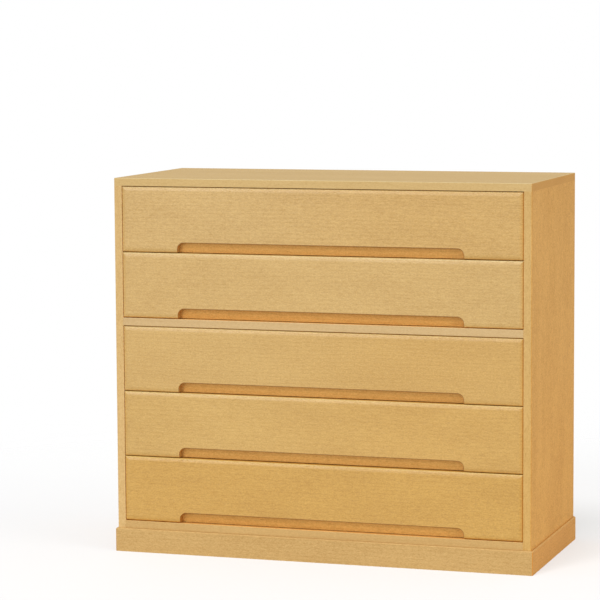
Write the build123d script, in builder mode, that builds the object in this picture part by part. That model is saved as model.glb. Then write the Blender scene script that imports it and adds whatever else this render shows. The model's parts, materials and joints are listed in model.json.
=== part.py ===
from build123d import *
import os
from math import cos, radians

# A chest of five equal drawers in paulownia wood, standing on a plinth.
# Millimetres, +Z up. The origin is on the floor, under the middle of the whole outline.
# The fronts face -Y, and +X is on the right of someone who stands before the chest.

# ------------------------------------------------------------------ driving dimensions

# case
CASE_WIDTH = 990.0
CASE_DEPTH = 440.0
TOTAL_HEIGHT = 875.0
TOP_THICKNESS = 18.0
SIDE_THICKNESS = 18.0
SHELF_THICKNESS = 18.0
BOTTOM_THICKNESS = 18.0
CASE_ROUND = 1.5  # outer edges of the top board and the sides
ARRIS = 0.6  # broken edges of boards that meet others

# back panels
BACK_THICKNESS = 5.0
BACK_LAP = 9.0  # how far a panel covers the boards that it is pinned to

# plinth
PLINTH_HEIGHT = 55.0
PLINTH_THICKNESS = 18.0
PLINTH_REVEAL = 5.0  # stands out from the case at the front and the sides
PLINTH_CHAMFER = 2.5
PLINTH_CORNER = 1.6  # flat on the mitred front corners
BLOCK_LEG = 60.0  # triangular glue blocks
BLOCK_LIFT = 6.0  # above the floor

# drawer fronts
UPPER_DRAWERS = 2
LOWER_DRAWERS = 3
FRONT_GAP = 1.2  # above and below each front
FRONT_SIDE_GAP = 0.6  # beside each front
FRONT_THICKNESS = 15.0
FRONT_ROUND = 4.0  # at the outside of each edge
FRONT_CROWN = 28.0  # wide shallow arc between that rounding and the flat of the front
CROWN_TURN = 15.0  # degrees that the shallow arc turns
NOTCH_WIDTH = 680.0
NOTCH_HEIGHT = 23.0
NOTCH_CORNER = 15.0
NOTCH_ROUND = 1.0
HOOK_RISE = 8.0  # finger groove behind the front, above the notch
HOOK_DEPTH = 7.0

# drawer boxes
BOX_THICKNESS = 10.0
INNER_FRONT_THICKNESS = 12.0
BOX_SIDE_CLEARANCE = 2.0
BOX_TOP_CLEARANCE = 3.0  # under the runner of the drawer above
BOX_ROUND = 1.2  # upper edges
SLIP = 0.3  # between a drawer and what it slides on or stops at
COMB_FINGERS = 5
PANEL_THICKNESS = 5.0
PANEL_LIFT = 6.0  # above the lower edge of the inner front
GROOVE_DEPTH = 5.0

# runners and stops
RUNNER_HEIGHT = 12.0
RUNNER_WIDTH = 15.0
RUNNER_SETBACK = 2.0  # behind the front of the drawer below
RUNNER_LEAD = 4.0  # bevel that guides a drawer in
STOP_LENGTH = 12.0
STOP_HEIGHT = 22.0

# dowels
DOWEL_RADIUS = 4.0
DOWEL_DEEP = 17.0  # into the end of a board
DOWEL_SHALLOW = 11.0  # into the face of a board
DOWEL_AIR = 1.0  # left free at each end
DOWELS_PER_JOINT = 3
DOWEL_EDGE = 60.0  # from the front and the back of the case
HOLE_CLEARANCE = 0.1  # radial, around dowels, screws and pins

# screws and pins
SCREW_RADIUS = 1.75
SCREW_HEAD_RADIUS = 3.5
SCREW_HEAD_HEIGHT = 2.2
RECESS_SPAN = 4.4
RECESS_WIDTH = 0.9
RECESS_DEPTH = 1.1
RUNNER_SCREW_LENGTH = 25.0
RUNNER_SCREWS = 3
RUNNER_SCREW_EDGE = 45.0
FRONT_SCREW_LENGTH = 24.0
FRONT_SCREW_INSET = 45.0  # from the inside of the drawer's side
FRONT_SCREW_COLUMNS = 3
FRONT_SCREW_RISE = 42.0  # from the lower edge of the inner front
FRONT_SCREW_DROP = 28.0  # from its upper edge
PLINTH_SCREW_LENGTH = 45.0
PLINTH_SCREW_INSET = 24.0  # from the inside of the plinth
PIN_RADIUS = 0.8
PIN_HEAD_RADIUS = 1.6
PIN_HEAD_HEIGHT = 0.8
PIN_LENGTH = 14.0
PIN_PITCH = 150.0  # at most, from one pin to the next
PIN_EDGE = 30.0  # from the end of a row

# ------------------------------------------------------------------ places that follow

X_CASE = CASE_WIDTH / 2
X_PLINTH = X_CASE + PLINTH_REVEAL
X_PLINTH_INSIDE = X_PLINTH - PLINTH_THICKNESS
X_INSIDE = X_CASE - SIDE_THICKNESS
X_BACK_EDGE = X_INSIDE + BACK_LAP

Y_PLINTH = -(CASE_DEPTH + PLINTH_REVEAL) / 2
Y_PLINTH_INSIDE = Y_PLINTH + PLINTH_THICKNESS
Y_FRONT = Y_PLINTH + PLINTH_REVEAL
Y_REAR = Y_FRONT + CASE_DEPTH
Y_MIDDLE = (Y_FRONT + Y_REAR) / 2
Y_BACK = Y_REAR - BACK_THICKNESS
INNER_DEPTH = Y_BACK - Y_FRONT
Y_INNER_MIDDLE = (Y_FRONT + Y_BACK) / 2

DRAWERS = UPPER_DRAWERS + LOWER_DRAWERS
LEVEL_BOARDS = TOP_THICKNESS + SHELF_THICKNESS + BOTTOM_THICKNESS
ALL_GAPS = (DRAWERS + 2) * FRONT_GAP
FRONT_HEIGHT = (TOTAL_HEIGHT - PLINTH_HEIGHT - LEVEL_BOARDS - ALL_GAPS) / DRAWERS
PITCH = FRONT_HEIGHT + FRONT_GAP
Z_BOTTOM_TOP = PLINTH_HEIGHT + BOTTOM_THICKNESS
Z_SHELF = Z_BOTTOM_TOP + LOWER_DRAWERS * PITCH + FRONT_GAP
Z_SHELF_MIDDLE = Z_SHELF + SHELF_THICKNESS / 2
Z_SHELF_TOP = Z_SHELF + SHELF_THICKNESS
Z_TOP_BOARD = TOTAL_HEIGHT - TOP_THICKNESS

CROWN_ANGLE = radians(CROWN_TURN)
CROWN_DEPTH = FRONT_CROWN * (1 - cos(CROWN_ANGLE)) + FRONT_ROUND * cos(CROWN_ANGLE)
X_FRONT_BOARD = X_INSIDE - FRONT_SIDE_GAP
X_BOX = X_INSIDE - BOX_SIDE_CLEARANCE
X_BOX_INSIDE = X_BOX - BOX_THICKNESS
X_RUNNER = X_INSIDE - RUNNER_WIDTH
Y_INNER_FRONT = Y_FRONT + FRONT_THICKNESS
Y_BOX_INSIDE = Y_INNER_FRONT + INNER_FRONT_THICKNESS
Y_STOP = Y_BACK - STOP_LENGTH
Y_BOX_REAR = Y_STOP - SLIP
Y_BOX_BACK = Y_BOX_REAR - BOX_THICKNESS
Y_RUNNER = Y_INNER_FRONT + RUNNER_SETBACK
BOX_HEIGHT = FRONT_HEIGHT - RUNNER_HEIGHT - BOX_TOP_CLEARANCE
FINGER_HEIGHT = BOX_HEIGHT / COMB_FINGERS

# Height that each drawer slides on, from drawer 1 at the top down to the last one.
UPPER_FLOORS = [Z_SHELF_TOP + level * PITCH for level in reversed(range(UPPER_DRAWERS))]
LOWER_FLOORS = [Z_BOTTOM_TOP + level * PITCH for level in reversed(range(LOWER_DRAWERS))]
FLOORS = UPPER_FLOORS + LOWER_FLOORS
RUNNER_FLOORS = [floor for floor in FLOORS if floor not in (Z_SHELF_TOP, Z_BOTTOM_TOP)]

SIDES = {"left": -1, "right": 1}


def spread(first, last, count):
    """Evenly spaced values from first to last."""
    return [first + (last - first) * step / (count - 1) for step in range(count)]


def cut_block(low, high):
    """Cuts the block between two corners out of the part that is being made."""
    middle = (Vector(*low) + Vector(*high)) / 2
    with Locations(middle):
        Box(*[abs(b - a) for a, b in zip(low, high)], mode=Mode.SUBTRACT)


def save(piece, name):
    """Labels a finished piece and writes it to a file of its own."""
    piece.part.label = name
    export_step(piece.part, f"parts/{name}.step")


# ------------------------------------------------------------------ dowels

DOWEL_ROWS = spread(Y_FRONT + DOWEL_EDGE, Y_BACK - DOWEL_EDGE, DOWELS_PER_JOINT)
LEVEL_DOWEL_HEIGHTS = [Z_SHELF_MIDDLE, PLINTH_HEIGHT + BOTTOM_THICKNESS / 2]


def upright_dowels(side):
    """Planes of the joint between a side board and the top board, looking up into the top."""
    x = side * (X_CASE - SIDE_THICKNESS / 2)
    return [Plane((x, y, Z_TOP_BOARD)) for y in DOWEL_ROWS]


def level_dowels(side, z):
    """Planes of the joint between a level board's end and a side board, looking into the side."""
    x_dir = (0, 1, 0)
    z_dir = (side, 0, 0)
    return [Plane((side * X_INSIDE, y, z), x_dir=x_dir, z_dir=z_dir) for y in DOWEL_ROWS]


def cut_dowel_holes(planes):
    """Drills the part that is being made on both sides of those joint planes."""
    with Locations(*[plane.offset((DOWEL_SHALLOW - DOWEL_DEEP) / 2) for plane in planes]):
        Cylinder(
            DOWEL_RADIUS + HOLE_CLEARANCE,
            DOWEL_DEEP + DOWEL_SHALLOW,
            mode=Mode.SUBTRACT,
        )


def make_case_dowels():
    planes = []
    for side in SIDES.values():
        planes += upright_dowels(side)
        for z in LEVEL_DOWEL_HEIGHTS:
            planes += level_dowels(side, z)
    with BuildPart() as dowels:
        with Locations(*[plane.offset((DOWEL_SHALLOW - DOWEL_DEEP) / 2) for plane in planes]):
            Cylinder(DOWEL_RADIUS, DOWEL_DEEP + DOWEL_SHALLOW - 2 * DOWEL_AIR)
    save(dowels, "case_dowels")


# ------------------------------------------------------------------ screws and pins


def nail(length, radius, head_radius, head_height, clearance=0.0):
    """A countersunk nail below its head's face at the origin, or with clearance the hole for it."""
    with BuildPart() as shape:
        with BuildSketch(Plane.XZ):
            with BuildLine():
                Polyline(
                    (0, 0),
                    (head_radius + clearance, 0),
                    (radius + clearance, -head_height),
                    (radius + clearance, 2 * radius - length),
                    (0, -length - clearance),
                    close=True,
                )
            make_face()
        revolve(axis=Axis.Z)
    return shape.part


def screw(length):
    """A countersunk screw with a crossed recess, below its head's face at the origin."""
    with BuildPart() as shape:
        add(nail(length, SCREW_RADIUS, SCREW_HEAD_RADIUS, SCREW_HEAD_HEIGHT))
        for turn in (0, 90):
            Box(
                RECESS_SPAN,
                RECESS_WIDTH,
                2 * RECESS_DEPTH,
                rotation=(0, 0, turn),
                mode=Mode.SUBTRACT,
            )
    return shape.part


def pin():
    return nail(PIN_LENGTH, PIN_RADIUS, PIN_HEAD_RADIUS, PIN_HEAD_HEIGHT)


def make_group(name, shape, planes):
    """Copies of one shape, each on a plane that looks out of the wood."""
    with BuildPart() as group:
        with Locations(*planes):
            add(shape)
    save(group, name)


def cut_screw_holes(length, planes):
    """Drills the part that is being made for screws with their heads on those planes."""
    hole = nail(length, SCREW_RADIUS, SCREW_HEAD_RADIUS, SCREW_HEAD_HEIGHT, HOLE_CLEARANCE)
    with Locations(*planes):
        add(hole, mode=Mode.SUBTRACT)


def cut_pin_holes(planes):
    """Drills the part that is being made for pins with their heads on those planes."""
    hole = nail(PIN_LENGTH, PIN_RADIUS, PIN_HEAD_RADIUS, PIN_HEAD_HEIGHT, HOLE_CLEARANCE)
    with Locations(*planes):
        add(hole, mode=Mode.SUBTRACT)


def runner_screw_planes(side):
    """Heads on the inner faces of a side's runners."""
    rows = spread(Y_RUNNER + RUNNER_SCREW_EDGE, Y_BACK - RUNNER_SCREW_EDGE, RUNNER_SCREWS)
    return [
        Plane((side * X_RUNNER, y, floor - RUNNER_HEIGHT / 2), z_dir=(-side, 0, 0))
        for floor in RUNNER_FLOORS
        for y in rows
    ]


def front_screw_planes(low):
    """Heads on the back of the inner front whose lower edge is at that height."""
    x = X_BOX_INSIDE - FRONT_SCREW_INSET
    heights = (low + FRONT_SCREW_RISE, low + BOX_HEIGHT - FRONT_SCREW_DROP)
    return [
        Plane((column, Y_BOX_INSIDE, z), z_dir=(0, 1, 0))
        for column in spread(-x, x, FRONT_SCREW_COLUMNS)
        for z in heights
    ]


def plinth_screw_planes():
    """Heads on the bottom board, over the glue blocks."""
    x = X_PLINTH_INSIDE - PLINTH_SCREW_INSET
    rows = (
        Y_PLINTH_INSIDE + PLINTH_SCREW_INSET,
        Y_REAR - PLINTH_THICKNESS - PLINTH_SCREW_INSET,
    )
    return [Plane((side * x, y, Z_BOTTOM_TOP)) for side in SIDES.values() for y in rows]


def pin_row(first, last):
    """Pin places between two ends, evenly spaced and at most a pitch apart."""
    start = first + PIN_EDGE
    end = last - PIN_EDGE
    return spread(start, end, 2 + int((end - start) / PIN_PITCH))


def pin_planes(points):
    """Heads on the outside of the back panels."""
    return [Plane((x, Y_REAR, z), z_dir=(0, 1, 0)) for x, z in points]


def side_pins(side):
    """Pins from both back panels into a side board."""
    x = side * (X_INSIDE + BACK_LAP / 2)
    heights = pin_row(Z_SHELF_TOP, Z_TOP_BOARD) + pin_row(Z_BOTTOM_TOP, Z_SHELF)
    return pin_planes([(x, z) for z in heights])


def level_pins(z):
    """Pins from a back panel into a level board."""
    return pin_planes([(x, z) for x in pin_row(-X_INSIDE, X_INSIDE)])


TOP_PINS = level_pins(Z_TOP_BOARD + BACK_LAP / 2)
SHELF_PINS = level_pins(Z_SHELF_MIDDLE + SHELF_THICKNESS / 4)
SHELF_PINS += level_pins(Z_SHELF_MIDDLE - SHELF_THICKNESS / 4)
BOTTOM_PINS = level_pins(PLINTH_HEIGHT + BOTTOM_THICKNESS / 2)
SIDE_PINS = side_pins(-1) + side_pins(1)
ALL_PINS = TOP_PINS + SHELF_PINS + BOTTOM_PINS + SIDE_PINS


# ------------------------------------------------------------------ case


def make_top_board():
    """Covers the upper ends of the side boards; a rabbet below its rear edge takes the back."""
    with BuildPart() as top:
        with BuildSketch(Plane.XY.offset(Z_TOP_BOARD)):
            with Locations((0, Y_MIDDLE)):
                Rectangle(CASE_WIDTH, CASE_DEPTH)
        extrude(amount=TOP_THICKNESS)
        fillet(top.edges().filter_by(Axis.Z), CASE_ROUND)
        fillet(top.faces().sort_by(Axis.Z)[-1].edges(), CASE_ROUND)
        cut_block(
            (-X_BACK_EDGE, Y_BACK, Z_TOP_BOARD),
            (X_BACK_EDGE, Y_REAR, Z_TOP_BOARD + BACK_LAP),
        )
        cut_dowel_holes(upright_dowels(-1) + upright_dowels(1))
        cut_pin_holes(TOP_PINS)
    save(top, "top_board")


def make_side_board(word, side):
    """Stands on the plinth between floor and top board, with a rabbet for the back."""
    with BuildPart() as board:
        with BuildSketch(Plane.XY.offset(PLINTH_HEIGHT)):
            with Locations((side * (X_CASE - SIDE_THICKNESS / 2), Y_MIDDLE)):
                Rectangle(SIDE_THICKNESS, CASE_DEPTH)
        extrude(amount=Z_TOP_BOARD - PLINTH_HEIGHT)
        uprights = board.edges().filter_by(Axis.Z).sort_by(Axis.X)
        outer = uprights[-2:] if side > 0 else uprights[:2]
        fillet(outer, CASE_ROUND)
        cut_block(
            (side * X_INSIDE, Y_BACK, PLINTH_HEIGHT),
            (side * X_BACK_EDGE, Y_REAR, Z_TOP_BOARD),
        )
        cut_dowel_holes(upright_dowels(side))
        for z in LEVEL_DOWEL_HEIGHTS:
            cut_dowel_holes(level_dowels(side, z))
        cut_screw_holes(RUNNER_SCREW_LENGTH, runner_screw_planes(side))
        cut_pin_holes(side_pins(side))
    save(board, f"side_{word}")


def make_mid_shelf():
    """Full board between the second and the third drawer; its front edge is seen as a rail."""
    with BuildPart() as shelf:
        with BuildSketch(Plane.XY.offset(Z_SHELF)):
            with Locations((0, Y_INNER_MIDDLE)):
                Rectangle(2 * X_INSIDE, INNER_DEPTH)
        extrude(amount=SHELF_THICKNESS)
        fillet(shelf.faces().sort_by(Axis.Y)[0].edges(), ARRIS)
        for side in SIDES.values():
            cut_dowel_holes(level_dowels(side, Z_SHELF_MIDDLE))
        cut_pin_holes(SHELF_PINS)
    save(shelf, "mid_shelf")


def make_bottom_board():
    """Lies on the plinth between the side boards and carries the lowest drawer."""
    with BuildPart() as bottom:
        with BuildSketch(Plane.XY.offset(PLINTH_HEIGHT)):
            with Locations((0, Y_INNER_MIDDLE)):
                Rectangle(2 * X_INSIDE, INNER_DEPTH)
        extrude(amount=BOTTOM_THICKNESS)
        fillet(bottom.faces().sort_by(Axis.Y)[0].edges(), ARRIS)
        for side in SIDES.values():
            cut_dowel_holes(level_dowels(side, PLINTH_HEIGHT + BOTTOM_THICKNESS / 2))
        cut_screw_holes(PLINTH_SCREW_LENGTH, plinth_screw_planes())
        cut_pin_holes(BOTTOM_PINS)
    save(bottom, "bottom_board")


def make_back_panel(word, z_low, z_high):
    """Thin panel in the rabbets, pinned around its edge."""
    with BuildPart() as panel:
        with BuildSketch(Plane.XZ.offset(-Y_REAR)):
            with Locations((0, (z_low + z_high) / 2)):
                Rectangle(2 * X_BACK_EDGE, z_high - z_low)
        extrude(amount=BACK_THICKNESS)
        cut_pin_holes([plane for plane in ALL_PINS if z_low < plane.origin.Z < z_high])
    save(panel, f"back_panel_{word}")


# ------------------------------------------------------------------ plinth


def make_plinth_front():
    """Front rail, mitred at both ends, with the case's weight on its upper edge."""
    with BuildPart() as rail:
        with BuildSketch():
            with BuildLine():
                Polyline(
                    (PLINTH_CORNER - X_PLINTH, Y_PLINTH),
                    (X_PLINTH - PLINTH_CORNER, Y_PLINTH),
                    (X_PLINTH - PLINTH_CORNER / 2, Y_PLINTH + PLINTH_CORNER / 2),
                    (X_PLINTH_INSIDE, Y_PLINTH_INSIDE),
                    (-X_PLINTH_INSIDE, Y_PLINTH_INSIDE),
                    (PLINTH_CORNER / 2 - X_PLINTH, Y_PLINTH + PLINTH_CORNER / 2),
                    close=True,
                )
            make_face()
        extrude(amount=PLINTH_HEIGHT)
        upper = rail.faces().sort_by(Axis.Z)[-1].edges()
        outer = upper.filter_by_position(Axis.Y, Y_PLINTH, Y_PLINTH + PLINTH_CORNER / 2)
        chamfer(outer, PLINTH_CHAMFER)
    save(rail, "plinth_front")


def make_plinth_side(word, side):
    """Side rail, mitred at the front and running through to the back."""
    with BuildPart() as rail:
        with BuildSketch():
            with BuildLine():
                Polyline(
                    (side * X_PLINTH, Y_PLINTH + PLINTH_CORNER),
                    (side * (X_PLINTH - PLINTH_CORNER / 2), Y_PLINTH + PLINTH_CORNER / 2),
                    (side * X_PLINTH_INSIDE, Y_PLINTH_INSIDE),
                    (side * X_PLINTH_INSIDE, Y_REAR),
                    (side * X_PLINTH, Y_REAR),
                    close=True,
                )
            make_face()
        extrude(amount=PLINTH_HEIGHT)
        upper = rail.faces().sort_by(Axis.Z)[-1].edges()
        reach = sorted((side * X_PLINTH, side * (X_PLINTH - PLINTH_CORNER / 2)))
        chamfer(upper.filter_by_position(Axis.X, *reach), PLINTH_CHAMFER)
    save(rail, f"plinth_{word}")


def make_plinth_back():
    """Rear rail between the side rails."""
    with BuildPart() as rail:
        with BuildSketch():
            with Locations((0, Y_REAR - PLINTH_THICKNESS / 2)):
                Rectangle(2 * X_PLINTH_INSIDE, PLINTH_THICKNESS)
        extrude(amount=PLINTH_HEIGHT)
    save(rail, "plinth_back")


def make_plinth_blocks():
    """Triangular glue blocks in the corners of the plinth, up to the bottom board."""
    ends = {Y_PLINTH_INSIDE: BLOCK_LEG, Y_REAR - PLINTH_THICKNESS: -BLOCK_LEG}
    with BuildPart() as blocks:
        for side in SIDES.values():
            for y, leg in ends.items():
                with BuildSketch(Plane.XY.offset(BLOCK_LIFT)):
                    with BuildLine():
                        Polyline(
                            (side * X_PLINTH_INSIDE, y),
                            (side * (X_PLINTH_INSIDE - BLOCK_LEG), y),
                            (side * X_PLINTH_INSIDE, y + leg),
                            close=True,
                        )
                    make_face()
                extrude(amount=PLINTH_HEIGHT - BLOCK_LIFT)
        cut_screw_holes(PLINTH_SCREW_LENGTH, plinth_screw_planes())
    save(blocks, "plinth_blocks")


# ------------------------------------------------------------------ runners and stops


def make_runner(number, floor, word, side):
    """Cleat on a side board, with its front end hidden by the front of the drawer below."""
    with BuildPart() as runner:
        with BuildSketch(Plane.XY.offset(floor - RUNNER_HEIGHT)):
            with Locations((side * (X_RUNNER + RUNNER_WIDTH / 2), (Y_RUNNER + Y_BACK) / 2)):
                Rectangle(RUNNER_WIDTH, Y_BACK - Y_RUNNER)
        extrude(amount=RUNNER_HEIGHT)
        upper = runner.faces().sort_by(Axis.Z)[-1].edges()
        chamfer(upper.sort_by(Axis.Y)[0], RUNNER_LEAD)
        cut_screw_holes(RUNNER_SCREW_LENGTH, runner_screw_planes(side))
    save(runner, f"runner_{number}_{word}")


def make_drawer_stops():
    """Blocks against the back that stop each drawer with its front flush."""
    with BuildPart() as stops:
        for side in SIDES.values():
            for floor in FLOORS:
                with BuildSketch(Plane.XY.offset(floor)):
                    with Locations((side * (X_RUNNER + RUNNER_WIDTH / 2), (Y_STOP + Y_BACK) / 2)):
                        Rectangle(RUNNER_WIDTH, STOP_LENGTH)
                extrude(amount=STOP_HEIGHT)
    save(stops, "drawer_stops")


# ------------------------------------------------------------------ drawers


def finger_starts(low, first):
    """Lower edges of every second finger of the comb joint above that height."""
    return [low + count * FINGER_HEIGHT for count in range(first, COMB_FINGERS, 2)]


def cut_panel_groove(low):
    """Cuts the room of the bottom panel out of the part that is being made."""
    cut_block(
        (-X_BOX_INSIDE - GROOVE_DEPTH, Y_BOX_INSIDE - GROOVE_DEPTH, low + PANEL_LIFT),
        (
            X_BOX_INSIDE + GROOVE_DEPTH,
            Y_BOX_BACK + GROOVE_DEPTH,
            low + PANEL_LIFT + PANEL_THICKNESS,
        ),
    )


def front_section(plane, width):
    """Section of a front: flat at the back, with a shallow arc and a rounding at each edge."""
    with BuildSketch(plane) as section:
        with BuildLine():
            back = Line((0, 0), (width / 2, 0))
            side = Line(back @ 1, (width / 2, FRONT_THICKNESS - CROWN_DEPTH))
            rounding = JernArc(side @ 1, side % 1, FRONT_ROUND, 90 - CROWN_TURN)
            crown = JernArc(rounding @ 1, rounding % 1, FRONT_CROWN, CROWN_TURN)
            Line(crown @ 1, (0, FRONT_THICKNESS))
            mirror(about=Plane.YZ)
        make_face()
    return section.sketch


def make_drawer_front(number, low):
    """Inset front with rounded edges, a finger notch below and a groove behind it to pull on."""
    back = Plane.XZ.offset(-Y_INNER_FRONT)
    middle = low + FRONT_HEIGHT / 2
    lying = Plane((-X_FRONT_BOARD, Y_INNER_FRONT, middle), x_dir=(0, 0, 1), z_dir=(1, 0, 0))
    standing = Plane((0, Y_INNER_FRONT, low), x_dir=(-1, 0, 0), z_dir=(0, 0, 1))
    with BuildPart() as front:
        extrude(front_section(lying, FRONT_HEIGHT), amount=2 * X_FRONT_BOARD)
        extrude(
            front_section(standing, 2 * X_FRONT_BOARD), amount=FRONT_HEIGHT, mode=Mode.INTERSECT
        )
        with BuildSketch(back) as notch:
            with Locations((0, low)):
                Rectangle(NOTCH_WIDTH, 2 * NOTCH_HEIGHT)
            fillet(notch.vertices().group_by(Axis.Y)[-1], NOTCH_CORNER)
        extrude(amount=FRONT_THICKNESS, mode=Mode.SUBTRACT)
        rim = front.edges(Select.LAST).filter_by_position(Axis.Y, Y_FRONT, Y_FRONT + CROWN_DEPTH)
        fillet(rim, NOTCH_ROUND)
        hook = NOTCH_WIDTH / 2 - NOTCH_CORNER
        cut_block(
            (-hook, Y_INNER_FRONT - HOOK_DEPTH, low),
            (hook, Y_INNER_FRONT, low + NOTCH_HEIGHT + HOOK_RISE),
        )
        cut_screw_holes(FRONT_SCREW_LENGTH, front_screw_planes(low))
    save(front, f"drawer_{number}_front")


def make_drawer_end(name, low, y, thickness, screws=False):
    """Inner front or back of a drawer box, with comb fingers at both ends."""
    with BuildPart() as board:
        with BuildSketch(Plane.XY.offset(low)):
            with Locations((0, y + thickness / 2)):
                Rectangle(2 * X_BOX, thickness)
        extrude(amount=BOX_HEIGHT)
        fillet(board.faces().sort_by(Axis.Z)[-1].edges().filter_by(Axis.X), BOX_ROUND)
        for side in SIDES.values():
            for start in finger_starts(low, 0):
                cut_block(
                    (side * X_BOX_INSIDE, y, start),
                    (side * X_BOX, y + thickness, start + FINGER_HEIGHT),
                )
        cut_panel_groove(low)
        if screws:
            cut_screw_holes(FRONT_SCREW_LENGTH, front_screw_planes(low))
    save(board, name)


def make_drawer_side(name, low, side):
    """Side of a drawer box; it reaches below the other boards, because the drawer slides on it."""
    foot = low - FRONT_GAP + SLIP
    with BuildPart() as board:
        with BuildSketch(Plane.XY.offset(foot)):
            with Locations((side * (X_BOX - BOX_THICKNESS / 2), (Y_INNER_FRONT + Y_BOX_REAR) / 2)):
                Rectangle(BOX_THICKNESS, Y_BOX_REAR - Y_INNER_FRONT)
        extrude(amount=low + BOX_HEIGHT - foot)
        fillet(board.faces().sort_by(Axis.Z)[-1].edges().filter_by(Axis.Y), BOX_ROUND)
        for start in finger_starts(low, 1):
            for y_low, y_high in ((Y_INNER_FRONT, Y_BOX_INSIDE), (Y_BOX_BACK, Y_BOX_REAR)):
                cut_block(
                    (side * X_BOX_INSIDE, y_low, start),
                    (side * X_BOX, y_high, start + FINGER_HEIGHT),
                )
        cut_panel_groove(low)
    save(board, name)


def make_drawer_bottom(number, low):
    """Thin panel in the grooves of the four boards."""
    with BuildPart() as panel:
        with BuildSketch(Plane.XY.offset(low + PANEL_LIFT)):
            with Locations((0, (Y_BOX_INSIDE + Y_BOX_BACK) / 2)):
                Rectangle(
                    2 * (X_BOX_INSIDE + GROOVE_DEPTH),
                    Y_BOX_BACK - Y_BOX_INSIDE + 2 * GROOVE_DEPTH,
                )
        extrude(amount=PANEL_THICKNESS)
    save(panel, f"drawer_{number}_bottom")


def make_drawer(number, floor):
    low = floor + FRONT_GAP
    make_drawer_front(number, low)
    make_drawer_end(
        f"drawer_{number}_inner_front", low, Y_INNER_FRONT, INNER_FRONT_THICKNESS, screws=True
    )
    make_drawer_end(f"drawer_{number}_back", low, Y_BOX_BACK, BOX_THICKNESS)
    for word, side in SIDES.items():
        make_drawer_side(f"drawer_{number}_{word}", low, side)
    make_drawer_bottom(number, low)
    make_group(f"drawer_{number}_screws", screw(FRONT_SCREW_LENGTH), front_screw_planes(low))


# ------------------------------------------------------------------ the whole chest

os.makedirs("parts", exist_ok=True)

make_top_board()
make_mid_shelf()
make_bottom_board()
make_back_panel("upper", Z_SHELF_MIDDLE, Z_TOP_BOARD + BACK_LAP)
make_back_panel("lower", PLINTH_HEIGHT, Z_SHELF_MIDDLE)
make_plinth_front()
make_plinth_back()
for word, side in SIDES.items():
    make_side_board(word, side)
    make_plinth_side(word, side)
make_plinth_blocks()
make_drawer_stops()
make_case_dowels()
make_group("back_pins", pin(), ALL_PINS)
make_group(
    "runner_screws",
    screw(RUNNER_SCREW_LENGTH),
    runner_screw_planes(-1) + runner_screw_planes(1),
)
make_group("plinth_screws", screw(PLINTH_SCREW_LENGTH), plinth_screw_planes())
for number, floor in enumerate(FLOORS, start=1):
    if floor in RUNNER_FLOORS:
        for word, side in SIDES.items():
            make_runner(number, floor, word, side)
    make_drawer(number, floor)
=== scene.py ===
import json
import math

import bpy
from mathutils import Matrix, Vector

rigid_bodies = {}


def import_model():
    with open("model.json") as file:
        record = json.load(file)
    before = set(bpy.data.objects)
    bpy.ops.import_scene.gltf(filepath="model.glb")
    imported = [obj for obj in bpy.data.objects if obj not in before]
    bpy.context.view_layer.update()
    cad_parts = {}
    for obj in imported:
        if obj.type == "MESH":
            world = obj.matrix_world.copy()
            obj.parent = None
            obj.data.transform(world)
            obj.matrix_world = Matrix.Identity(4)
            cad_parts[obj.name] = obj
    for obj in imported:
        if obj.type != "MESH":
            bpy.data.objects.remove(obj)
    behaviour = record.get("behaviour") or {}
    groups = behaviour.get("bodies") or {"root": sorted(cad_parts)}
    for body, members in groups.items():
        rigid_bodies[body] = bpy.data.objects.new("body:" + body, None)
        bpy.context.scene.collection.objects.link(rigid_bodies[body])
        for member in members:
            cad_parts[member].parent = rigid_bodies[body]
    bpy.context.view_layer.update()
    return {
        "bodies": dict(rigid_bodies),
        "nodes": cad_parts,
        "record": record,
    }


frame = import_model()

# Looks of the paulownia chest. Metres, +Z up, the fronts face -Y. Every piece is a CAD node that
# keeps its own mesh, so this script gives each board its wood, and sets the floor, the lights and
# the camera.

# ------------------------------------------------------------------ camera

PHOTO_SIDE = 600.0  # pixels
SENSOR = 36.0  # millimetres
CAMERA_PLACE = Vector((1.823, -5.855, 1.220))
CAMERA_YAW = math.radians(18.318)
CAMERA_PITCH = math.radians(5.930)  # looks down
CAMERA_ROLL = math.radians(-0.336)
CAMERA_FOCAL_PIXELS = 2629.7
CAMERA_REACH = 60.0  # nothing farther away is drawn


def make_camera():
    """Pinhole camera at the place that the edges of the chest point back to."""
    data = bpy.data.cameras.new("camera")
    data.sensor_width = SENSOR
    data.lens = CAMERA_FOCAL_PIXELS / PHOTO_SIDE * SENSOR
    data.clip_end = CAMERA_REACH
    camera = bpy.data.objects.new("camera", data)
    bpy.context.scene.collection.objects.link(camera)
    turn = Matrix.Rotation(CAMERA_YAW, 4, "Z")
    tilt = Matrix.Rotation(math.pi / 2 - CAMERA_PITCH, 4, "X")
    roll = Matrix.Rotation(CAMERA_ROLL, 4, "Z")
    camera.matrix_world = Matrix.Translation(CAMERA_PLACE) @ turn @ tilt @ roll
    bpy.context.scene.camera = camera


# ------------------------------------------------------------------ node trees


def node(tree, kind, inputs=None, **settings):
    """Adds a shader node; an input is a value, or a socket to link."""
    made = tree.nodes.new("ShaderNode" + kind)
    for key, value in settings.items():
        setattr(made, key, value)
    for key, value in (inputs or {}).items():
        if isinstance(value, bpy.types.NodeSocket):
            tree.links.new(value, made.inputs[key])
        else:
            made.inputs[key].default_value = value
    return made


def calc(tree, operation, *values, clamp=False):
    """Result of a math node."""
    made = node(tree, "Math", dict(enumerate(values)), operation=operation, use_clamp=clamp)
    return made.outputs[0]


def remap(tree, value, low, high, to_low=0.0, to_high=1.0):
    """Smooth step of a value from one range to another."""
    inputs = {"Value": value, 1: low, 2: high, 3: to_low, 4: to_high}
    return node(tree, "MapRange", inputs, interpolation_type="SMOOTHSTEP").outputs[0]


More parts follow.
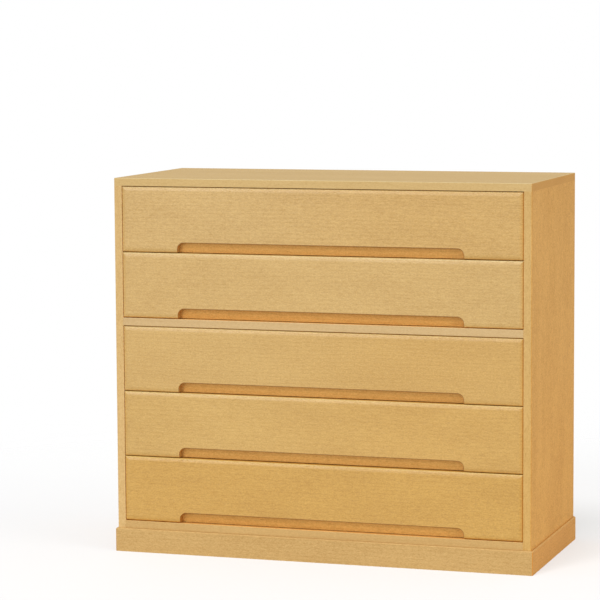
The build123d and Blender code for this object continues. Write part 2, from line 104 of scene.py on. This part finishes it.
def mix(tree, amount, first, second, blend="MIX"):
    """Mix of two colours."""
    inputs = {0: amount, 6: first, 7: second}
    return node(tree, "Mix", inputs, data_type="RGBA", blend_type=blend).outputs[2]


def noise(tree, place, scale, detail=2.0, roughness=0.5):
    """Noise around a half, at a place that is scaled first."""
    scaled = node(tree, "VectorMath", {0: place, 1: scale}, operation="MULTIPLY").outputs[0]
    inputs = {"Vector": scaled, "Scale": 1.0, "Detail": detail, "Roughness": roughness}
    return node(tree, "TexNoise", inputs).outputs[0]


def weighted(tree, layers, weights, total=0.0):
    """Sum of layers by their weights, added to a first value."""
    for name, weight in weights.items():
        total = calc(tree, "MULTIPLY_ADD", layers[name], weight, total)
    return total


def own_parts(tree, kind):
    """The x, y and z of a piece's own coordinates, Object, or of its own directions, Normal."""
    coordinates = node(tree, "TexCoord").outputs[kind]
    return node(tree, "SeparateXYZ", {0: coordinates}).outputs


def axis_of(letter):
    """Number of an axis."""
    return "XYZ".index(letter)


def empty_material(name):
    """New material and its node tree, with nothing in it."""
    material = bpy.data.materials.new(name)
    material.use_nodes = True
    material.node_tree.nodes.clear()
    return material, material.node_tree


def show(tree, shader):
    """Makes a shader the surface of its material."""
    node(tree, "OutputMaterial", {"Surface": shader.outputs[0]})


def linear(red, green, blue):
    """Scene colour of a screen colour from 0 to 255."""

    def channel(value):
        value /= 255.0
        return value / 12.92 if value <= 0.04045 else ((value + 0.055) / 1.055) ** 2.4

    return (channel(red), channel(green), channel(blue), 1.0)


def tinted(colour, red, green, blue):
    """A colour with its channels multiplied."""
    return (colour[0] * red, colour[1] * green, colour[2] * blue, 1.0)


# ------------------------------------------------------------------ figure of the wood

# Noises of the figure. A scale is in waves a metre, along the grain and across it.
FIGURE = {
    "streaks": {"scale": (80.0, 280.0), "detail": 2.0, "roughness": 0.65},
    "flecks": {"scale": (260.0, 480.0), "detail": 1.0, "roughness": 0.5},
    "fibres": {"scale": (35.0, 2600.0), "detail": 2.0, "roughness": 0.6},
    "clouds": {"scale": (4.0, 14.0), "detail": 3.0, "roughness": 0.6},
    "pores": {"scale": (120.0, 1700.0), "detail": 0.0, "roughness": 0.5},
}
WIDENED = ("streaks", "flecks")  # these are wider across on some boards
PORE_LEVELS = (0.66, 0.76)  # a pore opens where its noise passes from one to the other
TONE_SHARES = {"streaks": 0.95, "flecks": 1.30, "fibres": 0.45, "clouds": 0.65, "rings": -0.22}
RELIEF_SHARES = {"fibres": 0.6, "streaks": 0.5, "rings": 0.5, "pores": -0.8}

RING_WIDTH = 0.0085  # between two growth rings
RING_SLOPE = 0.35  # rings lean through the board
RING_WANDER = 2.8  # how far rings wander, in ring widths
RING_CROWDING = 1.4  # how unevenly they are spaced, in ring widths
WANDER_SCALE = (2.2, 7.0, 7.0)
CROWDING_SCALE = (0.4, 26.0, 9.0)
RING_SHARPNESS = 5.0
STRIP_WIDTH = 0.112  # wide boards are glued up from strips
GRAIN_STEP = (1.37, 0.731, 0.317)  # from the wood of one board to that of the next


def grain_place(tree, grain, seed):
    """Coordinates along, across and through the grain of one board, in metres."""
    place = own_parts(tree, "Object")
    parts = {index: place[axis_of(letter)] for index, letter in enumerate(grain)}
    joined = node(tree, "CombineXYZ", parts).outputs[0]
    shift = tuple(step * seed for step in GRAIN_STEP)
    return node(tree, "VectorMath", {0: joined, 1: shift}, operation="ADD").outputs[0]


def growth_rings(tree, place):
    """Thin late-wood lines along the grain: 0 in early wood, 1 on a line."""
    split = node(tree, "SeparateXYZ", {0: place})
    wander = noise(tree, place, WANDER_SCALE)
    crowding = noise(tree, place, CROWDING_SCALE, detail=1.0)
    across = calc(tree, "MULTIPLY_ADD", split.outputs[2], RING_SLOPE, split.outputs[1])
    rings = calc(tree, "DIVIDE", across, RING_WIDTH)
    rings = calc(tree, "MULTIPLY_ADD", wander, RING_WANDER, rings)
    rings = calc(tree, "MULTIPLY_ADD", crowding, RING_CROWDING, rings)
    return calc(tree, "POWER", calc(tree, "FRACT", rings), RING_SHARPNESS)


def strips(tree, place):
    """A tone from 0 to 1 for each strip that a wide board is glued up from."""
    across = node(tree, "SeparateXYZ", {0: place}).outputs[1]
    index = calc(tree, "FLOOR", calc(tree, "DIVIDE", across, STRIP_WIDTH))
    inputs = {"W": index}
    return node(tree, "TexWhiteNoise", inputs, noise_dimensions="1D").outputs["Value"]


def figure_layers(tree, place, spread):
    """What the figure is made of, by name: noises around a half, and rings and pores from 0 to 1."""
    layers = {"rings": growth_rings(tree, place)}
    for name, settings in FIGURE.items():
        along, across = settings["scale"]
        if name in WIDENED:
            across /= spread
        scale = (along, across, across)
        layers[name] = noise(tree, place, scale, settings["detail"], settings["roughness"])
    layers["pores"] = remap(tree, layers["pores"], *PORE_LEVELS)
    return layers


def figure_shade(tree, place, layers, figure, strip_figure):
    """Tone of the figure from 0, dark, to 1, light, around a half."""
    shares = {name: share * figure for name, share in TONE_SHARES.items()}
    if strip_figure:
        layers = {**layers, "strips": strips(tree, place)}
        shares["strips"] = strip_figure
    middle = 0.5 - sum(shares.values()) / 2
    return calc(tree, "ADD", weighted(tree, layers, shares, middle), 0.0, clamp=True)


# ------------------------------------------------------------------ faces and edges of a board

# Ranges of a normal's part along an axis, over which a face begins to look that way: the broad
# faces and ends of a board, its flat edges, and roundings.
FACE_RANGE = (0.55, 0.95)
FLAT_RANGE = (0.97, 0.998)
LEANING_RANGE = (0.05, 0.35)
ROUND_RANGE = (0.998, 0.95)  # of its largest part, over which a face begins to be a rounding
ARRIS_RANGE = (0.995, 0.86)  # of what a face's and its surroundings' normals have in common
PLANED_EDGE = 0.0015  # radius over which handled edges show
BEVEL_SAMPLES = 4

NOTCH_CORNER = 0.015  # radius of a finger notch's corners
NOTCH_ROUND = 0.001  # rounding of its rim
NOTCH_BEYOND = (0.0165, 0.0005)  # a notch is this much wider and higher than its box in the record
OPENINGS = frame["record"]["physics"]["openings"]
NOTCHES = {space["name"]: space["box_m"] for space in OPENINGS if space["name"].endswith("notch")}


def end_grain(tree, grain):
    """1 on faces that cut across the grain."""
    facing = calc(tree, "ABSOLUTE", own_parts(tree, "Normal")[axis_of(grain[0])])
    return remap(tree, facing, *FACE_RANGE)


def flat_edge(tree, grain):
    """1 on the flat faces along a board's two long edges."""
    facing = calc(tree, "ABSOLUTE", own_parts(tree, "Normal")[axis_of(grain[1])])
    return remap(tree, facing, *FLAT_RANGE)


def broad_face(tree, grain, side):
    """1 on the broad face of a board that looks to its + or - side."""
    facing = calc(tree, "MULTIPLY", own_parts(tree, "Normal")[axis_of(grain[2])], side)
    return remap(tree, facing, *FACE_RANGE)


def roundings(tree):
    """1 on roundings that look up, on those that look left, and on all others: where painted
    highlights and painted shade go.
    """
    facing = own_parts(tree, "Normal")
    sizes = [calc(tree, "ABSOLUTE", facing[axis]) for axis in range(3)]
    largest = calc(tree, "MAXIMUM", calc(tree, "MAXIMUM", sizes[0], sizes[1]), sizes[2])
    rounded = remap(tree, largest, *ROUND_RANGE)
    upper = calc(tree, "MULTIPLY", rounded, remap(tree, facing[2], *LEANING_RANGE))
    lower = calc(tree, "SUBTRACT", rounded, upper)
    leftward = calc(tree, "MULTIPLY", facing[0], -1.0)
    left = calc(tree, "MULTIPLY", lower, remap(tree, leftward, *LEANING_RANGE))
    return upper, left, calc(tree, "SUBTRACT", lower, left)


def arrises(tree):
    """1 on sharp edges, 0 on flat faces and large roundings."""
    soft = node(tree, "Bevel", {"Radius": PLANED_EDGE}, samples=BEVEL_SAMPLES).outputs[0]
    hard = node(tree, "NewGeometry").outputs["True Normal"]
    same = node(tree, "VectorMath", {0: soft, 1: hard}, operation="DOT_PRODUCT").outputs["Value"]
    return remap(tree, same, *ARRIS_RANGE)


def outside_notch(tree, box):
    """Distance from the outline of a finger notch to a place outside it, in metres."""
    place = own_parts(tree, "Object")
    half_width = box[1][0] + NOTCH_BEYOND[0]
    top = box[1][2] + NOTCH_BEYOND[1]
    aside = calc(tree, "ABSOLUTE", place[0])
    aside = calc(tree, "SUBTRACT", aside, half_width - NOTCH_CORNER)
    above = calc(tree, "SUBTRACT", place[2], top - NOTCH_CORNER)
    parts = {0: calc(tree, "MAXIMUM", aside, 0.0), 1: calc(tree, "MAXIMUM", above, 0.0)}
    reach = node(tree, "CombineXYZ", parts).outputs[0]
    length = node(tree, "VectorMath", {0: reach}, operation="LENGTH").outputs["Value"]
    return calc(tree, "SUBTRACT", length, NOTCH_CORNER)


# ------------------------------------------------------------------ wood

# These multiply the red, green and blue of a board's tone.
DARKER = (0.83, 0.77, 0.66)  # late fibres
LIGHTER = (1.16, 1.21, 1.31)  # early wood
PORE_TINT = (0.62, 0.50, 0.36)
END_TINT = (0.98, 0.76, 0.50, 1.0)  # end grain
END_AND_GAP_SHADE_TINT = (1.08, 0.83, 0.53, 1.0)  # end grain, and painted shade on the ends and flat edges in the gaps between the fronts
UPPER_HIGHLIGHT_TINT = (1.04, 1.20, 1.52, 1.0)  # painted highlight on roundings that look up
LEFT_HIGHLIGHT_TINT = (1.07, 1.08, 1.10, 1.0)  # and a weaker painted highlight on those that look left
OTHER_SHADE_TINT = (1.02, 0.88, 0.64, 1.0)  # painted shade on all other roundings, turned away from the light
ARRIS_TINT = (1.04, 1.03, 1.02, 1.0)
PALE_TINT = (1.02, 1.075, 1.24, 1.0)  # paler towards one end of a board
RIM_SHADOW_TINT = (0.42, 0.24, 0.08, 1.0)  # painted shadow under the rim of a finger notch
NOTCH_WALL_SHADE_TINT = (0.75, 0.78, 0.85, 1.0)  # and painted shade on its walls

PORE_SHARE = 0.30  # how much of its tint a pore has
ARRIS_SHARE = 0.5  # and an arris
RIM_RANGE = (0.0, 0.3 * NOTCH_ROUND)  # distance from a notch over which its wall becomes its rim
BESIDE_RANGE = (1.3 * NOTCH_ROUND, 0.9 * NOTCH_ROUND)  # and over which its rim begins
EDGE_FIGURE = 0.5  # contrast on the edges of a board whose broad faces have a tone of their own

STREAK_DULLNESS = 0.14
END_DULLNESS = 0.16
ARRIS_POLISH = 0.10
WOOD_BUMP = {"Strength": 0.35, "Distance": 0.00025}
WOOD_IOR = 1.45


def planed_tone(tree, grain, shade, tone, faces):
    """Colour of the figure; broad faces may have a tone of their own."""
    dark, light = tinted(tone, *DARKER), tinted(tone, *LIGHTER)
    if not faces:
        return mix(tree, shade, dark, light)
    seen = calc(tree, "MULTIPLY_ADD", shade, EDGE_FIGURE, (1 - EDGE_FIGURE) / 2)
    for side, face_tone in faces:
        broad = broad_face(tree, grain, side)
        dark = mix(tree, broad, dark, tinted(face_tone, *DARKER))
        light = mix(tree, broad, light, tinted(face_tone, *LIGHTER))
        seen = calc(tree, "MULTIPLY_ADD", calc(tree, "SUBTRACT", shade, seen), broad, seen)
    return mix(tree, seen, dark, light)


def bare_tone(tree, grain, layers, shade, tone, faces, pale):
    """Colour of a board before its ends and edges change it: its figure, a paler end and pores."""
    colour = planed_tone(tree, grain, shade, tone, faces)
    if pale:
        along = own_parts(tree, "Object")[axis_of(grain[0])]
        colour = mix(tree, remap(tree, along, *pale), colour, PALE_TINT, "MULTIPLY")
    pores = calc(tree, "MULTIPLY", layers["pores"], PORE_SHARE)
    return mix(tree, pores, colour, tinted(tone, *PORE_TINT))


def edge_tints(tree, grain, ends, edges, notch, oiled, bleached):
    """Tints of a board's ends, edges, roundings and notch, each with the place where it shows; most
    are painted highlights and painted shade.
    """
    upper, left, other = roundings(tree)
    # Darker end grain; on the fronts, end grain with painted shade from the gaps.
    tints = [(ends, END_AND_GAP_SHADE_TINT if oiled else END_TINT)]
    # Painted highlights on roundings that look up and, weaker, on those that look left.
    if bleached:
        tints += [(upper, UPPER_HIGHLIGHT_TINT), (left, LEFT_HIGHLIGHT_TINT)]
    # Painted shade on the other roundings.
    tints.append((other, OTHER_SHADE_TINT))
    # Painted shade on the flat edges in the gaps between the fronts.
    if oiled:
        tints.append((flat_edge(tree, grain), END_AND_GAP_SHADE_TINT))
    # Painted shadow under the rim of the finger notch, and painted shade on its walls.
    if notch:
        outside = outside_notch(tree, notch)
        tint = mix(tree, remap(tree, outside, *RIM_RANGE), NOTCH_WALL_SHADE_TINT, RIM_SHADOW_TINT)
        tints.append((remap(tree, outside, *BESIDE_RANGE), tint))
    tints.append((edges, ARRIS_TINT))
    return tints


def make_wood(
    name,
    seed,
    grain,
    tone,
    dullness,
    shine,
    faces=(),
    figure=1.0,
    spread=1.0,
    strip_figure=0.0,
    pale=None,
    notch=None,
    oiled=False,
    bleached=True,
):
    """Planed kiri: fine straight grain, faint rings, short pores, darker end grain.

    A board may have a figure with more contrast or wider streaks, glued strips, wood that turns
    paler towards one end, faces with a tone of their own, a finger notch with a painted shadow on
    its rim and painted shade on its walls, painted highlights and painted shade on its roundings,
    and painted shade on its ends and edges in the gaps between the fronts.
    """
    material, tree = empty_material(name)
    place = grain_place(tree, grain, seed)
    layers = figure_layers(tree, place, spread)
    shade = figure_shade(tree, place, layers, figure, strip_figure)
    ends = end_grain(tree, grain)
    edges = calc(tree, "MULTIPLY", arrises(tree), ARRIS_SHARE)

    colour = bare_tone(tree, grain, layers, shade, tone, faces, pale)
    for where, tint in edge_tints(tree, grain, ends, edges, notch, oiled, bleached):
        colour = mix(tree, where, colour, tint, "MULTIPLY")

    middle = dullness - STREAK_DULLNESS / 2
    rough = calc(tree, "MULTIPLY_ADD", layers["streaks"], STREAK_DULLNESS, middle)
    rough = calc(tree, "MULTIPLY_ADD", ends, END_DULLNESS, rough)
    rough = calc(tree, "MULTIPLY_ADD", edges, -ARRIS_POLISH, rough)
    relief = weighted(tree, layers, RELIEF_SHARES)
    bump = node(tree, "Bump", {**WOOD_BUMP, "Height": relief}).outputs[0]
    inputs = {
        "Base Color": colour,
        "Roughness": rough,
        "Normal": bump,
        "IOR": WOOD_IOR,
        "Specular IOR Level": shine,
    }
    show(tree, node(tree, "BsdfPrincipled", inputs))
    return material


# ------------------------------------------------------------------ metal

SPANGLE_SCALE = (900.0, 900.0, 900.0)
SCRATCH_SCALE = (300.0, 5000.0, 300.0)
METAL_DARKER = (0.8, 0.8, 0.82)
METAL_LIGHTER = (1.15, 1.15, 1.12)
METAL_DULLNESS = 0.22
SPANGLE_DULLNESS = 0.25
METAL_BUMP = {"Strength": 0.2, "Distance": 0.00005}


def make_metal(name, tone):
    """Zinc plate on small screws and pins, with a fine dull spangle."""
    material, tree = empty_material(name)
    place = node(tree, "TexCoord").outputs["Object"]
    spangle = noise(tree, place, SPANGLE_SCALE)
    scratches = noise(tree, place, SCRATCH_SCALE, detail=1.0)
    colour = mix(tree, spangle, tinted(tone, *METAL_DARKER), tinted(tone, *METAL_LIGHTER))
    rough = calc(tree, "MULTIPLY_ADD", spangle, SPANGLE_DULLNESS, METAL_DULLNESS)
    bump = node(tree, "Bump", {**METAL_BUMP, "Height": scratches}).outputs[0]
    inputs = {"Base Color": colour, "Roughness": rough, "Normal": bump, "Metallic": 1.0}
    show(tree, node(tree, "BsdfPrincipled", inputs))
    return material


# ------------------------------------------------------------------ which board is what

TONE_FRONT_HIGH = linear(198, 158, 89)
TONE_FRONT_LOW = linear(195, 151, 72)
# Painted light: the inner fronts seen through the notches are lighter and oranger than the fronts,
# standing in for the light bounced into the notch.
TONE_STRIP_HIGH = linear(221, 168, 90)
TONE_STRIP_LOW = linear(213, 162, 84)
TONE_TOP = linear(204, 172, 114)
TONE_SHELF = linear(200, 167, 113)
# Painted light: the faces of the top, shelf and bottom that look into the drawer spaces are lighter
# and oranger, lightening the shade in the gaps between the drawers.
TONE_SHELF_FACE_LIT = linear(234, 178, 98)
TONE_BOTTOM = linear(197, 160, 101)
TONE_LEFT_EDGE = linear(208, 173, 116)
# Painted shade: the outer faces of the sides are a warmer, oranger copy of the wood, the hue that a
# shaded side takes.
TONE_LEFT_SIDE = linear(211, 160, 89)
TONE_RIGHT_EDGE = linear(203, 163, 97)
TONE_RIGHT_SIDE = linear(209, 156, 82)
# Painted light: the inner faces of the sides are paler, lightening the shade in the gaps beside the
# drawers.
TONE_SIDE_INNER_LIT = linear(242, 213, 158)
TONE_PLINTH = linear(193, 156, 97)
# Painted shade: a warmer, oranger copy of the plinth's wood for its sides.
TONE_PLINTH_SIDE = linear(205, 150, 80)
TONE_INNER = linear(214, 178, 124)
TONE_DOWEL = linear(196, 150, 96)
TONE_ZINC = linear(196, 194, 188)
TONE_CURVE = 1.8  # of the change of tone from the upper drawers to the lower ones

# Where along a board its wood begins to turn paler, and where it is palest. The second front is
# pale all over.
FRONT_PALE = {1: (0.28, -0.27), 2: (1.05, 0.50), 3: (0.28, -0.27), 4: (0.28, -0.27)}
RIGHT_PALE = (0.10, 0.65)

WAXED = {"dullness": 0.32, "shine": 0.65}
WORN = {"dullness": 0.55, "shine": 0.25}
RUBBED = {"dullness": 0.45, "shine": 0.2}
TURNED = {"dullness": 0.58, "shine": 0.2}
BARE = {"dullness": 0.60, "shine": 0.2}
MATT = {"dullness": 0.60, "shine": 0.08}
GLUED_UP = {"strip_figure": 0.12}
SIDE_BOARD = {"grain": "ZYX", "figure": 1.35, "spread": 1.7, **MATT, **GLUED_UP}
INNER_BOARD = {"tone": TONE_INNER, **BARE}

# Boards of the case by the start of their names. The grain runs along, across and through a board.
CASE_BOARDS = {
    "top_board": {
        "grain": "XYZ",
        "tone": TONE_TOP,
        "faces": ((-1.0, TONE_SHELF_FACE_LIT),),
        **WORN,
        **GLUED_UP,
    },
    "mid_shelf": {
        "grain": "XYZ",
        "tone": TONE_SHELF,
        "faces": ((1.0, TONE_SHELF_FACE_LIT), (-1.0, TONE_SHELF_FACE_LIT)),
        **WAXED,
        **GLUED_UP,
    },
    "bottom_board": {
        "grain": "XYZ",
        "tone": TONE_BOTTOM,
        "faces": ((1.0, TONE_SHELF_FACE_LIT),),
        **RUBBED,
        **GLUED_UP,
    },
    "side_left": {
        "tone": TONE_LEFT_EDGE,
        "faces": ((-1.0, TONE_LEFT_SIDE), (1.0, TONE_SIDE_INNER_LIT)),
        **SIDE_BOARD,
    },
    "side_right": {
        "tone": TONE_RIGHT_EDGE,
        "faces": ((1.0, TONE_RIGHT_SIDE), (-1.0, TONE_SIDE_INNER_LIT)),
        "pale": RIGHT_PALE,
        **SIDE_BOARD,
    },
    # The plinth's front has no painted highlights.
    "plinth_front": {"grain": "XZY", "tone": TONE_PLINTH, "bleached": False, **RUBBED},
    "plinth_left": {"grain": "YZX", "tone": TONE_PLINTH_SIDE, **MATT},
    "plinth_right": {"grain": "YZX", "tone": TONE_PLINTH_SIDE, **MATT},
    "plinth_back": {"grain": "XZY", **INNER_BOARD},
    "plinth_blocks": {"grain": "ZXY", **INNER_BOARD},
    "back_panel": {"grain": "XZY", **INNER_BOARD, **GLUED_UP},
    "runner": {"grain": "YXZ", **INNER_BOARD},
    "drawer_stops": {"grain": "ZXY", **INNER_BOARD},
    "case_dowels": {"grain": "ZXY", "tone": TONE_DOWEL, **TURNED},
}
DRAWERS = sum(body.startswith("drawer_") for body in frame["bodies"])
DRAWER_GRAIN = {
    "front": "XZY",
    "inner_front": "XZY",
    "back": "XZY",
    "left": "YZX",
    "right": "YZX",
    "bottom": "XYZ",
}


def drawer_part(name):
    """Number of the drawer that a board belongs to and the board's place in it, or 0 and its name."""
    words = name.split("_", 2)
    if words[0] == "drawer" and words[1].isdigit():
        return int(words[1]), words[2]
    return 0, name


def drawer_tone(number, high, low):
    """The drawers turn a little yellower towards the bottom of the chest, mostly the last ones."""
    share = ((number - 1) / (DRAWERS - 1)) ** TONE_CURVE
    return tuple(h + (l - h) * share for h, l in zip(high, low))


def board_settings(name):
    """Grain, tone, figure and finish of the board with that node name."""
    number, part = drawer_part(name)
    if not number:
        return next(found for start, found in CASE_BOARDS.items() if name.startswith(start))
    settings = {"grain": DRAWER_GRAIN[part], **INNER_BOARD}
    if part == "front":
        settings.update(WAXED)
        settings["tone"] = drawer_tone(number, TONE_FRONT_HIGH, TONE_FRONT_LOW)
        settings["pale"] = FRONT_PALE.get(number)
        settings["notch"] = NOTCHES["drawer_%d_notch" % number]
        # The front's ends and flat edges get painted shade from the gaps around it.
        settings["oiled"] = True
    elif part == "inner_front":
        settings["tone"] = drawer_tone(number, TONE_STRIP_HIGH, TONE_STRIP_LOW)
    elif part == "bottom":
        settings.update(GLUED_UP)
    return settings


def dress_nodes():
    """Gives each board a wood of its own, and all screws and pins the same metal."""
    metal = make_metal("zinc_plate", TONE_ZINC)
    for seed, name in enumerate(sorted(frame["nodes"])):
        if name.endswith(("screws", "pins")):
            material = metal
        else:
            material = make_wood("kiri_" + name, seed, **board_settings(name))
        slots = frame["nodes"][name].data.materials
        slots.clear()
        slots.append(material)


# ------------------------------------------------------------------ floor and light

FLOOR_RADIUS = 2.8
FLOOR_SIDES = 96
FLOOR_SOLID = 0.7  # the floor fades into the background outside this radius
FLOOR_CLEAR = 0.5  # share of the background that shows through the floor everywhere
FLOOR_TONE = (0.94, 0.945, 0.96, 1.0)
FLOOR_DARKER = (0.99, 0.99, 0.99)
FLOOR_CLOUDS = (1.5, 1.5, 1.5)
FLOOR_DULLNESS = 0.9
FLOOR_SHINE = 0.1
BACKGROUND = (1.0, 1.0, 1.0, 1.0)
SEEN_STRENGTH = 1.0  # of the background that the camera sees
WORLD_STRENGTH = 0.57  # of the one that lights the chest

# Angles in degrees. Azimuth 0 is in front of the chest, and positive ones are on its right.
SUNS = {
    "key": {"azimuth": -24.0, "elevation": 33.0, "strength": 0.38, "angle": 16.0},
    "low": {"azimuth": -20.0, "elevation": 10.0, "strength": 0.565, "angle": 20.0},
    "overhead": {"azimuth": -10.0, "elevation": 66.0, "strength": 1.15, "angle": 20.0},
    "fill": {
        "azimuth": 75.0,
        "elevation": 15.0,
        "strength": 1.0,
        "angle": 40.0,
        "colour": (1.0, 0.90, 0.74),
    },
}
WHITE_LIGHT = (1.0, 1.0, 1.0)


def make_floor():
    """Plain pale floor that fades into the white background; it has an upper side only."""
    bpy.ops.mesh.primitive_circle_add(vertices=FLOOR_SIDES, radius=FLOOR_RADIUS, fill_type="NGON")
    floor = bpy.context.active_object
    floor.name = "floor"
    material, tree = empty_material("floor")
    place = node(tree, "TexCoord").outputs["Object"]
    reach = node(tree, "VectorMath", {0: place}, operation="LENGTH").outputs["Value"]
    fade = remap(tree, reach, FLOOR_SOLID, FLOOR_RADIUS, FLOOR_CLEAR, 1.0)
    lower = node(tree, "NewGeometry").outputs["Backfacing"]
    fade = calc(tree, "MAXIMUM", fade, lower)
    cloud = noise(tree, place, FLOOR_CLOUDS)
    colour = mix(tree, cloud, tinted(FLOOR_TONE, *FLOOR_DARKER), FLOOR_TONE)
    inputs = {"Base Color": colour, "Roughness": FLOOR_DULLNESS, "Specular IOR Level": FLOOR_SHINE}
    shader = node(tree, "BsdfPrincipled", inputs)
    clear = node(tree, "BsdfTransparent")
    show(tree, node(tree, "MixShader", {0: fade, 1: shader.outputs[0], 2: clear.outputs[0]}))
    floor.data.materials.append(material)


def make_world():
    """Even white surroundings; they are pure white where the camera sees them."""
    world = bpy.data.worlds.new("studio")
    bpy.context.scene.world = world
    world.use_nodes = True
    tree = world.node_tree
    tree.nodes.clear()
    seen = node(tree, "LightPath").outputs["Is Camera Ray"]
    strength = remap(tree, seen, 0.0, 1.0, WORLD_STRENGTH, SEEN_STRENGTH)
    background = node(tree, "Background", {"Color": BACKGROUND, "Strength": strength})
    node(tree, "OutputWorld", {"Surface": background.outputs[0]})


def make_sun(name, azimuth, elevation, strength, angle, colour=WHITE_LIGHT):
    """Large distant light."""
    data = bpy.data.lights.new(name, "SUN")
    data.energy = strength
    data.angle = math.radians(angle)
    data.color = colour
    lamp = bpy.data.objects.new(name, data)
    bpy.context.scene.collection.objects.link(lamp)
    turn = Matrix.Rotation(math.radians(azimuth), 4, "Z")
    tilt = Matrix.Rotation(math.radians(90 - elevation), 4, "X")
    lamp.matrix_world = turn @ tilt


def make_studio():
    """Soft light from the front and from above, and a little from the right."""
    make_floor()
    make_world()
    for name, settings in SUNS.items():
        make_sun(name, **settings)
    bpy.context.scene.view_settings.view_transform = "Standard"


# ------------------------------------------------------------------ the whole scene

make_camera()
dress_nodes()
make_studio()
